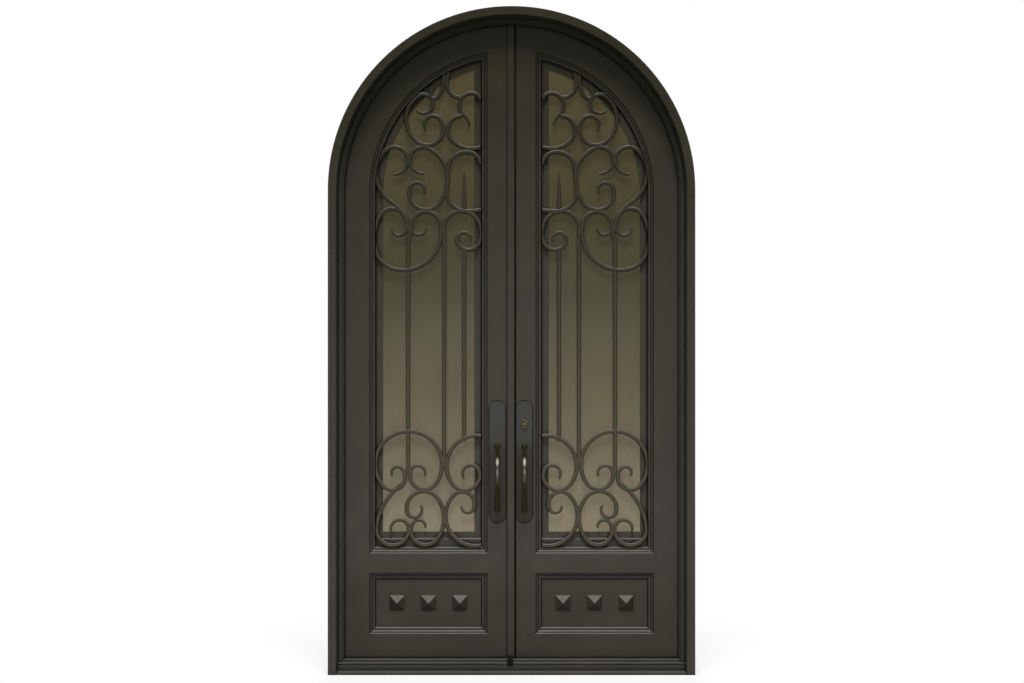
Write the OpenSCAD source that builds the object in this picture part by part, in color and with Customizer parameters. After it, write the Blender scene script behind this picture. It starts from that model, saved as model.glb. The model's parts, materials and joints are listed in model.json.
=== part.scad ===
// Round-top double entry door in welded wrought iron: one frame, two inward-opening
// leaves, each with a forged scroll grille in front of a framed glass light.
// X runs across the door, -Y is the street side, Z is up. The origin lies on the
// underside of the sill, in the middle of the frame's width and depth.

/* [Frame] */
// Overall width of the frame
frame_w = 1560; // [1300:10:1900]
// Overall height of the frame, to the crown of its round head
frame_h = 2840; // [2500:10:3400]
// Depth of the frame through the wall
frame_d = 150; // [130:5:180]
// Width of the raised strip round the street face
strip_w = 37; // [30:1:42]
// Thickness of the jamb behind the strip
jamb_t = 47; // [45:1:60]
// Distance from the street face back to the leaf stop
reveal_d = 57; // [50:1:60]
// Width of the leaf stop inside the jamb
stop_w = 13; // [10:1:20]
// Width of the raised bead along the edge of the stop
bead_w = 7; // [4:1:9]
// How far the bead lies behind the flat of the stop
bead_step = 5; // [2:1:8]
// Height of the sill under the leaves
sill_h = 37; // [30:1:45]
// Height of the sill's raised bump, above the sill under the leaves
bump_h = 13; // [8:1:20]

/* [Leaves] */
// Thickness of a leaf
leaf_t = 50; // [45:1:60]
// Running gap between a leaf and the frame
leaf_gap = 5; // [4:0.5:8]
// Gap between the two leaves
meeting_gap = 8.5; // [8.5:0.5:12]
// How far the left leaf reaches past the middle of the door
meeting_past = 12; // [8:1:20]
// Width of the hinge stile and of the arched rail
stile_w = 114; // [90:1:140]
// Distance from the middle of the door to the inner edge of a meeting stile
meeting_stile_edge = 103.7; // [95:0.1:130]
// Height of the bottom rail
bottom_rail_h = 112; // [90:1:160]
// Height of the panel opening
panel_open_h = 263; // [200:1:400]
// Height of the middle rail
mid_rail_h = 84; // [60:1:120]
// Width of the astragal on the left leaf
astragal_w = 29.5; // [24:0.5:40]
// Thickness of the astragal
astragal_t = 10; // [6:1:12]

/* [Panel and light] */
// Thickness of the lower panel
panel_t = 20; // [15:1:30]
// Side of a square stud
stud_side = 67; // [40:1:80]
// Height of a square stud
stud_h = 20; // [10:1:24]
// Distance between studs
stud_pitch = 136; // [100:1:140]
// Width of the stepped moulding round the panel and the light
moulding_w = 28; // [28:1:34]
// Depth of the stepped moulding round the light
moulding_d = 22; // [20:1:24]
// Visible width of the glass frame between the moulding and the glass
glass_border = 29; // [20:1:40]
// Height of the bottom rail of the glass frame
glass_rail_h = 90; // [70:1:110]
// Thickness of the glass frame
glass_frame_t = 25; // [20:1:26]
// Thickness of the glass unit
glass_t = 12; // [6:1:14]
// How far the glass unit runs into its frame
glass_bite = 12; // [8:1:14]
// Height of the weather bar across the foot of the glass frame
weather_bar_h = 36; // [20:1:50]

/* [Grille] */
// Width of the bars, seen from the street
bar_w = 18; // [14:1:22]
// Thickness of the grille
grille_t = 16; // [10:1:16]
// Distance from the street face of a leaf back to the grille
grille_set = 2; // [1:0.5:3]
// Width of a scroll at its drawn-out tip
tip_w = 7; // [5:1:10]
// Length over which the end of a scroll is drawn out
taper_l = 110; // [60:5:160]

/* [Handles] */
// Width of a handle plate
plate_w = 68; // [50:1:76]
// Height of a handle plate
plate_h = 521; // [400:1:560]
// Thickness of a handle plate
plate_t = 4; // [3:0.5:6]
// Radius of the corners of a handle plate
plate_r = 28; // [5:1:33]
// Height of the middle of a handle plate above the underside of the sill
plate_z = 898; // [850:1:1050]
// Height of the middle of a pull above the underside of the sill
pull_z = 829; // [800:1:900]
// Distance between the two posts of a pull
pull_span = 269; // [200:1:320]
// Distance from the plate to the axis of the pull at its posts
pull_reach = 42; // [35:1:50]
// How far the grip of a pull bows outward in its middle
pull_bow = 12; // [6:1:16]
// Diameter of the grip
grip_dia = 19; // [15:1:24]
// Height of the deadbolt above the underside of the sill
deadbolt_z = 1062; // [1020:1:1120]
// Diameter of the deadbolt cylinder
deadbolt_dia = 36; // [30:1:45]

/* [Hinges] */
// Number of hinges on each leaf
hinge_count = 4; // [3:1:5]
// Height of the lowest hinge
hinge_low_z = 250; // [200:10:400]
// Distance between hinges
hinge_pitch = 560; // [300:10:600]
// Height of a hinge barrel
barrel_h = 118; // [80:1:140]
// Diameter of a hinge barrel
barrel_dia = 22; // [18:1:24]
// Diameter of a hinge pin
pin_dia = 10; // [8:0.5:12]
// Radial clearance of a hinge pin in its bore
pin_clearance = 0.1; // [0.05:0.01:0.1]
// Length of a hinge flap
flap_l = 40; // [30:1:44]
// Thickness of a hinge flap
flap_t = 5; // [3:0.5:6]

/* [Hidden] */
$fn = 96;
eps = 1;             // overshoot of a cut past a face
seat = 0.3;          // clearance of a fitted piece in its seat
arc_fn = 180;        // facets asked for on the large arcs
left = -1;
right = 1;

// frame: radii are measured about the centre of the round head
frame_r = frame_w / 2;
spring_z = frame_h - frame_r;
strip_r = frame_r - strip_w;
jamb_r = frame_r - jamb_t;
stop_r = jamb_r - stop_w;
street_y = -frame_d / 2;
room_y = frame_d / 2;
stop_y = street_y + reveal_d;
bead_y = stop_y + bead_step;
edge_break = 3;

// leaves
leaf_r = jamb_r - leaf_gap;
leaf_y = room_y - leaf_t;
leaf_z = sill_h + leaf_gap;
stop_back_y = leaf_y - leaf_gap;
bump_z = sill_h + bump_h;
open_r = leaf_r - stile_w;
panel_z0 = leaf_z + bottom_rail_h;
panel_z1 = panel_z0 + panel_open_h;
light_z0 = panel_z1 + mid_rail_h;
astragal_y = leaf_y - astragal_t;
panel_y = leaf_y + (leaf_t - panel_t) / 2;

// sill: a lip at the street, a step, and the bump the leaves close behind
lip_z = 10;
lip_d = 38;
tread_z = 31;
nose_z = 36;
nose_d = 4;
shoulder_z = 43;
bump_y0 = bead_y;

// stepped moulding: distance in from the opening's edge, depth below the leaf's face
moulding_profile = [[0, 0], [4, 5], [10, 5], [14, 9], [moulding_w - 5, 9], [moulding_w, 15]];

// light
sight_r = open_r - moulding_w;
sight_edge = meeting_stile_edge + moulding_w;
sight_z0 = light_z0 + moulding_w;
glass_frame_y = leaf_y + moulding_d + seat;
glass_gap = 1.3;
glass_frame_edge = meeting_stile_edge + glass_gap;
glass_frame_r = open_r - glass_gap;
glass_frame_z0 = light_z0 + glass_gap;
glass_edge = sight_edge + glass_border;
glass_r = sight_r - glass_border;
glass_z0 = glass_frame_z0 + glass_rail_h;
glass_y = glass_frame_y + 7;
grille_y = leaf_y + grille_set;
weather_bar_y = grille_y + grille_t + seat;

// hinges
pivot_x = leaf_r + 2.5;
pivot_y = room_y + barrel_dia / 2 + 1;
knuckle_gap = 1;
pin_rise = 40;

// handles
plate_u_left = 60.8;
plate_u_right = 55.6;
post_dia = 15;

// grille pattern: drawn for a light of this width, then scaled to the light
pattern_w = 454.3;
pattern_edge = 131.7;
pattern_scale = (sight_r - sight_edge) / pattern_w;
bend_step = 12;

// --- helpers ----------------------------------------------------------------

// A piece drawn on the right of the door, moved to its own side
module on_side(side) mirror([side < 0 ? 1 : 0, 0, 0]) children();

// A shape drawn in the door's elevation, from depth y0 to depth y1
module upright(y0, y1) translate([0, y1, 0]) rotate([90, 0, 0]) linear_extrude(y1 - y0) children();

// A section [depth, height] run along X
module along_x(x0, x1) translate([x0, 0, 0]) rotate([90, 0, 90]) linear_extrude(x1 - x0) children();

// A section [radius, depth] turned about the centre of the round head
module round_head(angle) {
    translate([0, 0, spring_z]) rotate([90, 0, 0])
    rotate_extrude(angle = angle, $fn = arc_fn) mirror([0, 1]) children();
}

// A bar from corner to corner
module block(low, high) translate(low) cube(high - low);

// Where the meeting edge of a leaf lies, measured from the middle towards its own side
function meeting_edge(side) = side < 0 ? -meeting_past : meeting_past + meeting_gap;

// Outline in elevation: an upright opening that ends in the round head
module arched_outline(edge, r, z0) {
    intersection() {
        translate([edge, z0]) square([r - edge, spring_z + r]);
        union() {
            translate([0, spring_z]) circle(r, $fn = arc_fn);
            translate([0, z0]) square([r, spring_z - z0]);
        }
    }
}

// --- frame ------------------------------------------------------------------

// Section of the jamb: [radius, depth]
module jamb_section() polygon([
    [frame_r, street_y], [frame_r, room_y], [jamb_r, room_y], [jamb_r, stop_y],
    [strip_r, stop_y], [strip_r, street_y + edge_break], [strip_r + edge_break, street_y]
]);

// Section of the stop: a flat, then a bead set back along its edge
module stop_section() polygon([
    [jamb_r, stop_y], [jamb_r, stop_back_y], [stop_r, stop_back_y], [stop_r, bead_y],
    [stop_r + bead_w, bead_y], [stop_r + bead_w, stop_y]
]);

// Section of the sill: [depth, height]
module sill_section() polygon([
    [street_y, 0], [street_y, lip_z], [street_y + lip_d, lip_z], [street_y + lip_d, tread_z],
    [street_y + lip_d + nose_d, tread_z + 1], [street_y + lip_d + nose_d, nose_z - 1],
    [street_y + lip_d, nose_z], [street_y + lip_d, shoulder_z], [bump_y0, shoulder_z],
    [bump_y0, bump_z], [stop_back_y, bump_z], [stop_back_y, sill_h], [room_y, sill_h], [room_y, 0]
]);

module jamb(side) {
    color([0.23, 0.22, 0.19]) on_side(side)
    linear_extrude(spring_z) jamb_section();
}

module head_arch() {
    color([0.21, 0.2, 0.17])
    round_head(180) jamb_section();
}

module sill() {
    color([0.22, 0.2, 0.18])
    difference() {
        along_x(-strip_r, strip_r) sill_section();
        for (side = [left, right]) on_side(side)
        block([jamb_r, stop_y, -eps], [strip_r + eps, room_y + eps, bump_z + eps]);
    }
}

module stops_jambs() {
    color([0.23, 0.22, 0.2])
    for (side = [left, right]) on_side(side)
    difference() {
        translate([0, 0, shoulder_z]) linear_extrude(spring_z - shoulder_z) stop_section();
        block([stop_r - eps, bump_y0, shoulder_z - eps], [jamb_r + eps, stop_back_y + eps, bump_z]);
    }
}

module stop_arch() {
    color([0.21, 0.2, 0.17])
    round_head(180) stop_section();
}

// Block on the sill in front of the foot of the astragal
module centre_stop() {
    stop_x0 = meeting_past - astragal_w;
    stop_x1 = meeting_past - 6;
    color([0.15, 0.14, 0.12])
    difference() {
        block([stop_x0, street_y + lip_d - 3, tread_z], [stop_x1, stop_back_y - 10, bump_z + 9]);
        along_x(-frame_r, frame_r) sill_section();
    }
}

// --- hinges -----------------------------------------------------------------

function hinge_heights() = [for (i = [0 : hinge_count - 1]) hinge_low_z + i * hinge_pitch];

// Lower knuckle, pin and flap, fixed to the jamb
module hinges_frame(side) {
    knuckle_h = (barrel_h - knuckle_gap) / 2;
    color([0.2, 0.19, 0.17]) on_side(side)
    for (z = hinge_heights()) translate([pivot_x, pivot_y, z]) {
        translate([0, 0, -barrel_h / 2]) cylinder(h = knuckle_h, d = barrel_dia);
        translate([0, 0, -knuckle_gap]) cylinder(h = pin_rise + knuckle_gap, d = pin_dia);
        block([0, room_y - pivot_y, -barrel_h / 2],
              [flap_l, room_y - pivot_y + flap_t, -barrel_h / 2 + knuckle_h]);
    }
}

// Upper knuckle and flap, fixed to the leaf, bored for the pin
module hinges_leaf(side) {
    knuckle_h = (barrel_h - knuckle_gap) / 2;
    color([0.2, 0.19, 0.17]) on_side(side)
    for (z = hinge_heights()) translate([pivot_x, pivot_y, z + knuckle_gap / 2]) {
        difference() {
            union() {
                cylinder(h = knuckle_h, d = barrel_dia);
                block([-flap_l - pivot_x + leaf_r, room_y - pivot_y, 0],
                      [0, room_y - pivot_y + flap_t, knuckle_h]);
            }
            translate([0, 0, -eps])
            cylinder(h = pin_rise + eps + 1, d = pin_dia + 2 * pin_clearance);
        }
    }
}

// --- leaf members -----------------------------------------------------------

module stile_hinge(side) {
    color([0.22, 0.21, 0.19]) on_side(side)
    block([open_r, leaf_y, leaf_z], [leaf_r, room_y, spring_z]);
}

module stile_meeting(side) {
    edge = meeting_edge(side);
    color([0.28, 0.27, 0.25]) on_side(side)
    upright(leaf_y, room_y) intersection() {
        translate([edge, leaf_z]) square([meeting_stile_edge - edge, spring_z + leaf_r]);
        union() {
            translate([0, spring_z]) circle(leaf_r, $fn = arc_fn);
            translate([edge, leaf_z]) square([meeting_stile_edge - edge, spring_z - leaf_z]);
        }
    }
}

module rail_arch(side) {
    color([0.2, 0.19, 0.16]) on_side(side)
    intersection() {
        round_head(90) translate([open_r, leaf_y]) square([stile_w, leaf_t]);
        block([meeting_stile_edge, leaf_y, spring_z], [leaf_r + eps, room_y, spring_z + leaf_r]);
    }
}

module rail_mid(side) {
    color([0.27, 0.25, 0.23]) on_side(side)
    block([meeting_stile_edge, leaf_y, panel_z1], [open_r, room_y, light_z0]);
}

module rail_bottom(side) {
    color([0.24, 0.22, 0.19]) on_side(side)
    block([meeting_stile_edge, leaf_y, leaf_z], [open_r, room_y, panel_z0]);
}

// Flat bar that covers the gap between the leaves, on the street face of the left leaf
module astragal() {
    top = spring_z + sqrt(leaf_r * leaf_r - pow(astragal_w - meeting_past, 2)) - 10;
    color([0.29, 0.28, 0.26])
    block([meeting_past - astragal_w, astragal_y, bump_z + leaf_gap], [meeting_past, leaf_y, top]);
}

// --- panel ------------------------------------------------------------------

module panel(side) {
    color([0.25, 0.24, 0.21]) on_side(side)
    block([meeting_stile_edge, panel_y, panel_z0], [open_r, panel_y + panel_t, panel_z1]);
}

// Section of the moulding, [distance from the opening's edge, depth], down to a flat back
module moulding_section(back) polygon(concat(moulding_profile, [[moulding_w, back], [0, back]]));

// Straight length of moulding whose outer edge runs up from the origin
module moulding_run(length, back) linear_extrude(length) moulding_section(back);

// Four lengths of moulding, mitred, inside a square opening
module moulding_square(x0, x1, z0, z1, back) {
    intersection() {
        union() {
            translate([x0, 0, z0]) moulding_run(z1 - z0, back);
            translate([x1, 0, z0]) mirror([1, 0, 0]) moulding_run(z1 - z0, back);
            translate([x1, 0, z0]) rotate([0, -90, 0]) moulding_run(x1 - x0, back);
            translate([x0, 0, z1]) rotate([0, 90, 0]) moulding_run(x1 - x0, back);
        }
        block([x0, 0, z0], [x1, back, z1]);
    }
}

module panel_mouldings(side) {
    back = panel_y - leaf_y;
    color([0.27, 0.26, 0.23]) on_side(side) {
        translate([0, leaf_y, 0])
        moulding_square(meeting_stile_edge, open_r, panel_z0, panel_z1, back);
        translate([0, room_y, 0]) mirror([0, 1, 0])
        moulding_square(meeting_stile_edge, open_r, panel_z0, panel_z1, back);
    }
}

module studs(side) {
    middle_x = (meeting_stile_edge + open_r) / 2;
    middle_z = (panel_z0 + panel_z1) / 2;
    color([0.34, 0.33, 0.3]) on_side(side)
    for (i = [-1 : 1]) translate([middle_x + i * stud_pitch, panel_y, middle_z])
    rotate([90, 0, 0]) rotate([0, 0, 45])
    cylinder(h = stud_h, r1 = stud_side / sqrt(2), r2 = 0.5, $fn = 4);
}

// --- light ------------------------------------------------------------------

module light_moulding(side) {
    run = spring_z - light_z0;
    color([0.26, 0.25, 0.22]) on_side(side)
    intersection() {
        union() {
            translate([meeting_stile_edge, leaf_y, light_z0]) moulding_run(run + open_r, moulding_d);
            translate([open_r, leaf_y, light_z0]) mirror([1, 0, 0]) moulding_run(run, moulding_d);
            translate([open_r, leaf_y, light_z0]) rotate([0, -90, 0])
            moulding_run(open_r - meeting_stile_edge, moulding_d);
            round_head(90) translate([open_r, leaf_y]) mirror([1, 0]) moulding_section(moulding_d);
        }
        upright(leaf_y, leaf_y + moulding_d) arched_outline(meeting_stile_edge, open_r, light_z0);
    }
}

module glass_frame(side) {
    pocket = glass_bite + seat;
    color([0.25, 0.24, 0.21]) on_side(side) {
        difference() {
            upright(glass_frame_y, glass_frame_y + glass_frame_t)
            arched_outline(glass_frame_edge, glass_frame_r, glass_frame_z0);
            upright(glass_frame_y - eps, glass_frame_y + glass_frame_t + eps)
            arched_outline(glass_edge, glass_r, glass_z0);
            upright(glass_y - seat, glass_y + glass_t + seat)
            arched_outline(glass_edge - pocket, glass_r + pocket, glass_z0 - pocket);
        }
        weather_bar();
    }
}

// Bar with a sloping top across the foot of the glass frame
module weather_bar() {
    depth = glass_frame_y - weather_bar_y;
    along_x(sight_edge + seat, sight_r - seat) polygon([
        [glass_frame_y, sight_z0 + seat], [weather_bar_y, sight_z0 + seat],
        [weather_bar_y, sight_z0 + weather_bar_h - depth], [glass_frame_y, sight_z0 + weather_bar_h]
    ]);
}

module glass(side) {
    color([0.42, 0.4, 0.3, 0.6]) on_side(side)
    upright(glass_y, glass_y + glass_t)
    arched_outline(glass_edge - glass_bite, glass_r + glass_bite, glass_z0 - glass_bite);
}

// --- grille -----------------------------------------------------------------

// A scroll is a chain of arcs, each [radius, turn in degrees], left turns positive.
// Where the turn is 0, the first number is the length of a straight.
function along(p, h, arc, f) = arc[1] == 0
    ? p + f * arc[0] * [cos(h), sin(h)]
    : p + sign(arc[1]) * arc[0] * [sin(h + f * arc[1]) - sin(h), cos(h) - cos(h + f * arc[1])];
function arc_steps(arc) = arc[1] == 0 ? 1 : ceil(abs(arc[1]) / bend_step);
function arc_length(arc) = arc[1] == 0 ? arc[0] : arc[0] * abs(arc[1]) * PI / 180;

// Points [x, z, heading, distance from the start] along a chain
function chain(p, h, arcs, i = 0, run = 0) = i == len(arcs)
    ? [[p.x, p.y, h, run]]
    : concat(
        [for (k = [0 : arc_steps(arcs[i]) - 1])
            let (f = k / arc_steps(arcs[i]), q = along(p, h, arcs[i], f))
            [q.x, q.y, h + f * arcs[i][1], run + f * arc_length(arcs[i])]],
        chain(along(p, h, arcs[i], 1), h + arcs[i][1], arcs, i + 1, run + arc_length(arcs[i])));

// Half width of a scroll, drawn out towards each free tip
function drawn(distance) = min(1, distance / taper_l);
function half_width(run, total, tips) = let (
    near = tips[0] ? drawn(run) : 1,
    far = tips[1] ? drawn(total - run) : 1,
    full = min(near, far))
    (tip_w + (bar_w - tip_w) * sqrt(full)) / 2;

// Outline of one scroll: [start, heading, arcs, [tip at start, tip at end]]
module scroll(s) {
    points = chain(s[0], s[1], s[2]);
    total = points[len(points) - 1][3];
    polygon(concat(
        [for (q = points) [q[0], q[1]] + half_width(q[3], total, s[3]) * [-sin(q[2]), cos(q[2])]],
        [for (i = [len(points) - 1 : -1 : 0]) let (q = points[i])
            [q[0], q[1]] - half_width(q[3], total, s[3]) * [-sin(q[2]), cos(q[2])]]
    ));
}

// Upper scrolls: x from the middle of the door, z from the springing line
top_scrolls = [
    // outer S, which runs down into the first bar
    [[511, 78], 184, [[59, -238], [152, -91], [185, 55]], [true, false]],
    // heart ring round the first bar
    [[518, -154], 272,
     [[31, -146], [65, -191], [208, -44], [106, -60], [166, -114], [64, -174], [33, -166]], [true, true]],
    // C between the first and the second bar
    [[376, 82], 353, [[57, 214], [149, 93], [25, 0], [72, 170], [33, 187]], [true, true]],
    // D against the meeting side
    [[133, 122], 83, [[59, -67], [78, -102], [91, 0], [86, -89], [221, -18], [12, 0]], [false, false]],
    // curl under the D, which runs down into the second bar
    [[290, -184], 71, [[78, 146], [98, 83], [50, 136], [30, 218]], [false, true]],
    // large C under the arch
    [[369, 266], 49, [[39, 185], [70, 163], [123, 107], [41, 265]], [true, true]],
    // upper and lower curls against the meeting side
    [[135, 401], 77, [[34, -63], [53, -152], [87, 38]], [false, true]],
    [[134, 196], 340, [[116, 67], [62, 133]], [false, false]],
    // stems up to the arch
    [[274, 518], 279, [[35, 0], [68, -65], [41, -70]], [false, false]],
    [[291, 508], 276, [[46, 0], [85, 41], [17, 147], [30, 0]], [false, false]]
];

// Lower scrolls: x from the middle of the door, z from the foot of the light
low_scrolls = [
    // heart ring round the foot of the first bar
    [[514, 305], 56, [[26, 173], [55, 183], [144, 251], [63, 159], [33, 192]], [true, true]],
    // S from the ring to the corner
    [[462, 280], 326, [[281, -48], [70, -189], [39, -200]], [false, true]],
    // C in the middle
    [[394, 180], 232, [[33, 209], [74, 152], [145, 77], [62, 171], [29, 162]], [true, true]],
    // upper and lower curls against the meeting side
    [[132, 479], 8, [[131, -136], [65, -155], [37, -204]], [false, true]],
    [[216, 178], 279, [[27, -163], [53, -164], [130, -144]], [true, false]]
];

// Spike that stands on the D: half widths and heights above the springing line
spike_x = 205;
spike = [[9, -75], [9, -40], [6.5, 30], [1.5, 88]];

// The upright bars: x, foot above the foot of the light, top above the springing line
bars = [[447, 312, -190], [291, 350, -184], [205, 455, -250]];

// Places a pattern on the light: scaled to its width, hung from height z
module placed(z) translate([sight_edge, z]) scale(pattern_scale) translate([-pattern_edge, 0]) children();

module top_pattern() placed(spring_z) {
    for (s = top_scrolls) scroll(s);
    translate([spike_x, 0]) polygon(concat(
        [for (p = spike) [p[0], p[1]]], [for (i = [len(spike) - 1 : -1 : 0]) [-spike[i][0], spike[i][1]]]));
}

module low_pattern() placed(sight_z0) for (s = low_scrolls) scroll(s);

// The bars keep their width when the pattern is scaled
module bar_pattern() for (b = bars) {
    x = sight_edge + (b[0] - pattern_edge) * pattern_scale;
    foot = sight_z0 + b[1] * pattern_scale;
    top = spring_z + b[2] * pattern_scale;
    translate([x - bar_w / 2, foot]) square([bar_w, top - foot]);
}

// A part of the grille, cut to the light and given its thickness
module ironwork(side) {
    on_side(side) upright(grille_y, grille_y + grille_t)
    offset(delta = -seat / 2) intersection() {
        arched_outline(sight_edge, sight_r, sight_z0);
        children();
    }
}

module scrollwork_top(side) color([0.24, 0.22, 0.18]) ironwork(side) top_pattern();

module scrollwork_low(side) color([0.3, 0.28, 0.24]) ironwork(side) low_pattern();

module grille_bars(side) {
    color([0.26, 0.24, 0.2])
    ironwork(side) difference() {
        bar_pattern();
        top_pattern();
        low_pattern();
    }
}

// --- handles ----------------------------------------------------------------

function plate_u(side) = side < 0 ? plate_u_left : plate_u_right;

// Plate with rounded corners, centred on the origin, in elevation
module plate_outline() {
    inner_w = plate_w / 2 - plate_r;
    inner_h = plate_h / 2 - plate_r;
    square([plate_w, 2 * inner_h], center = true);
    square([2 * inner_w, plate_h], center = true);
    for (x = [-inner_w, inner_w], z = [-inner_h, inner_h]) translate([x, z]) circle(plate_r);
}

module handle_plates(side) {
    color([0.27, 0.26, 0.24]) on_side(side)
    for (y = [leaf_y - plate_t, room_y]) translate([plate_u(side), 0, plate_z])
    upright(y, y + plate_t) plate_outline();
}

// Pull on two posts, drawn with its plate at depth 0 and its grip towards -Y
module pull() {
    bow_r = (pow(pull_span / 2, 2) + pow(pull_bow, 2)) / (2 * pull_bow);
    bow_angle = 2 * asin(pull_span / 2 / bow_r);
    for (z = [-pull_span / 2, pull_span / 2]) translate([0, 0, z]) {
        rotate([90, 0, 0]) cylinder(h = pull_reach, d = post_dia);
        translate([0, -pull_reach, 0]) sphere(d = grip_dia + 2);
    }
    translate([0, -pull_reach + bow_r - pull_bow, 0])
    rotate([0, 90, 0]) rotate([0, 0, -90 - bow_angle / 2])
    rotate_extrude(angle = bow_angle) translate([bow_r, 0]) circle(d = grip_dia, $fn = 48);
}

module pulls(side) {
    color([0.18, 0.16, 0.13]) on_side(side)
    translate([plate_u(side), 0, pull_z]) {
        translate([0, leaf_y - plate_t, 0]) pull();
        translate([0, room_y + plate_t, 0]) mirror([0, 1, 0]) pull();
    }
}

// Key cylinder outside, thumb-turn inside
module deadbolt() {
    color([0.36, 0.34, 0.3]) translate([plate_u(right), 0, deadbolt_z]) {
        translate([0, leaf_y - plate_t, 0]) rotate([90, 0, 0]) cylinder(h = 12, d = deadbolt_dia);
        translate([0, room_y + plate_t, 0]) {
            rotate([-90, 0, 0]) cylinder(h = 8, d = deadbolt_dia);
            block([-4, 8 - 1, -15], [4, 26, 15]);
        }
    }
}

// --- the assembly -----------------------------------------------------------

jamb(left);  // jamb_left
jamb(right);  // jamb_right
head_arch();
sill();
stops_jambs();
stop_arch();
centre_stop();
hinges_frame(left);  // hinges_frame_left
hinges_frame(right);  // hinges_frame_right
stile_hinge(left);  // stile_hinge_left
stile_meeting(left);  // stile_meeting_left
rail_arch(left);  // rail_arch_left
rail_mid(left);  // rail_mid_left
rail_bottom(left);  // rail_bottom_left
panel(left);  // panel_left
panel_mouldings(left);  // panel_mouldings_left
studs(left);  // studs_left
light_moulding(left);  // light_moulding_left
glass_frame(left);  // glass_frame_left
glass(left);  // glass_left
grille_bars(left);  // grille_bars_left
scrollwork_top(left);  // scrollwork_top_left
scrollwork_low(left);  // scrollwork_low_left
handle_plates(left);  // handle_plates_left
pulls(left);  // pulls_left
hinges_leaf(left);  // hinges_leaf_left
astragal();
stile_hinge(right);  // stile_hinge_right
stile_meeting(right);  // stile_meeting_right
rail_arch(right);  // rail_arch_right
rail_mid(right);  // rail_mid_right
rail_bottom(right);  // rail_bottom_right
panel(right);  // panel_right
panel_mouldings(right);  // panel_mouldings_right
studs(right);  // studs_right
light_moulding(right);  // light_moulding_right
glass_frame(right);  // glass_frame_right
glass(right);  // glass_right
grille_bars(right);  // grille_bars_right
scrollwork_top(right);  // scrollwork_top_right
scrollwork_low(right);  // scrollwork_low_right
handle_plates(right);  // handle_plates_right
pulls(right);  // pulls_right
hinges_leaf(right);  // hinges_leaf_right
deadbolt();
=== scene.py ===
# %% [markdown]
# # A round-top double entry door in forged iron
# The frame, the sill, the rails and the hinges come from the CAD model, which is loaded
# first and never moved. This lesson adds what a smith and a painter add: forged scrolls,
# turned pulls, a key cylinder, rubber seals, screws, and the finish of every surface.
# All lengths are in metres. X runs across the door, -Y is the street and Z is up. Sizes that
# are chosen here have names in capitals, and places read from the CAD model have small ones.

# %% Load the frame
import json
import math

import bmesh
import bpy
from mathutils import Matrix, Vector, noise


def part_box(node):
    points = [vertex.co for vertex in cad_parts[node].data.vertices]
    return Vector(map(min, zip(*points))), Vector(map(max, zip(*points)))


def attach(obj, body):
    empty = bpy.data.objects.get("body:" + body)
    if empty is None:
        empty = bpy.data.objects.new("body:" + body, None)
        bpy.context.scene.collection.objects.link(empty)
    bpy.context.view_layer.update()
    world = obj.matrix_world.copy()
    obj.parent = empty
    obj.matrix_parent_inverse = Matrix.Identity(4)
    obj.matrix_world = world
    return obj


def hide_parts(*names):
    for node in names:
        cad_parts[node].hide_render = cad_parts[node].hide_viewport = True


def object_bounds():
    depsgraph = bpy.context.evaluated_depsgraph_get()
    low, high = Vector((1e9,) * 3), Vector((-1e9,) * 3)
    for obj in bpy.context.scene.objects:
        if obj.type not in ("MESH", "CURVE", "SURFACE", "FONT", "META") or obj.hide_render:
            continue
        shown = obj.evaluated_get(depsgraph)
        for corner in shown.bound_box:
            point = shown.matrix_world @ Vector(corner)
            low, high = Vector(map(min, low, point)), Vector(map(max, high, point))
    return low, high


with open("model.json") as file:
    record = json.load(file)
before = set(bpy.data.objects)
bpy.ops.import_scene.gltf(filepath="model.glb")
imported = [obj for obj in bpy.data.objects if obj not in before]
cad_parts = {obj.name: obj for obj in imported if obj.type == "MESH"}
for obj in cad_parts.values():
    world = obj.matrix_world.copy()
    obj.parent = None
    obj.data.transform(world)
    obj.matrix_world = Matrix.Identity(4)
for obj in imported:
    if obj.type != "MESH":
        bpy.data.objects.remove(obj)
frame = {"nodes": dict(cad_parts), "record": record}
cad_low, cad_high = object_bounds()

MM = 0.001
SIDES = {"left": -1, "right": 1}
nodes = frame["nodes"]
door_top = cad_high.z
print("CAD box", [round(v, 3) for v in cad_low], [round(v, 3) for v in cad_high])

# %% [markdown]
# ## Where things are
# Pieces that are added have to land on the CAD model, so their places are read from the
# boxes of its nodes. Only a few widths that no box shows are written down again.

# %% Places read from the CAD model
spring_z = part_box("jamb_left")[1].z
leaf_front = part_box("stile_hinge_right")[0].y
leaf_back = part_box("stile_hinge_right")[1].y
MOULDING_WIDTH = 28 * MM
light_low, light_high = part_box("light_moulding_right")
sight_edge = light_low.x + MOULDING_WIDTH
sight_radius = light_high.x - MOULDING_WIDTH
sight_foot = light_low.z + MOULDING_WIDTH
grille_low, grille_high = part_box("grille_bars_right")
grille_middle_y = (grille_low.y + grille_high.y) / 2
grille_half_depth = (grille_high.y - grille_low.y) / 2
print("light from", round(sight_edge, 4), "to", round(sight_radius, 4), "foot", round(sight_foot, 4))

# %% [markdown]
# ## Camera
# The door is seen square on, from six metres away and at half its height, with a lens
# close to normal. So far away, the upright lines stay upright.

# %% Camera
LENS_MM = 49.7
SENSOR_MM = 36.0
CAMERA_PLACE = (0.002, -6.075, 1.416)
LEVEL = math.radians(90)
camera_data = bpy.data.cameras.new("street_camera")
camera_data.lens = LENS_MM
camera_data.sensor_width = SENSOR_MM
camera = bpy.data.objects.new("street_camera", camera_data)
camera.location = CAMERA_PLACE
camera.rotation_euler = (LEVEL, 0, 0)
bpy.context.scene.collection.objects.link(camera)
bpy.context.scene.camera = camera
bpy.context.scene.view_settings.view_transform = "Standard"
print("camera at", [round(v, 3) for v in camera.location])

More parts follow.
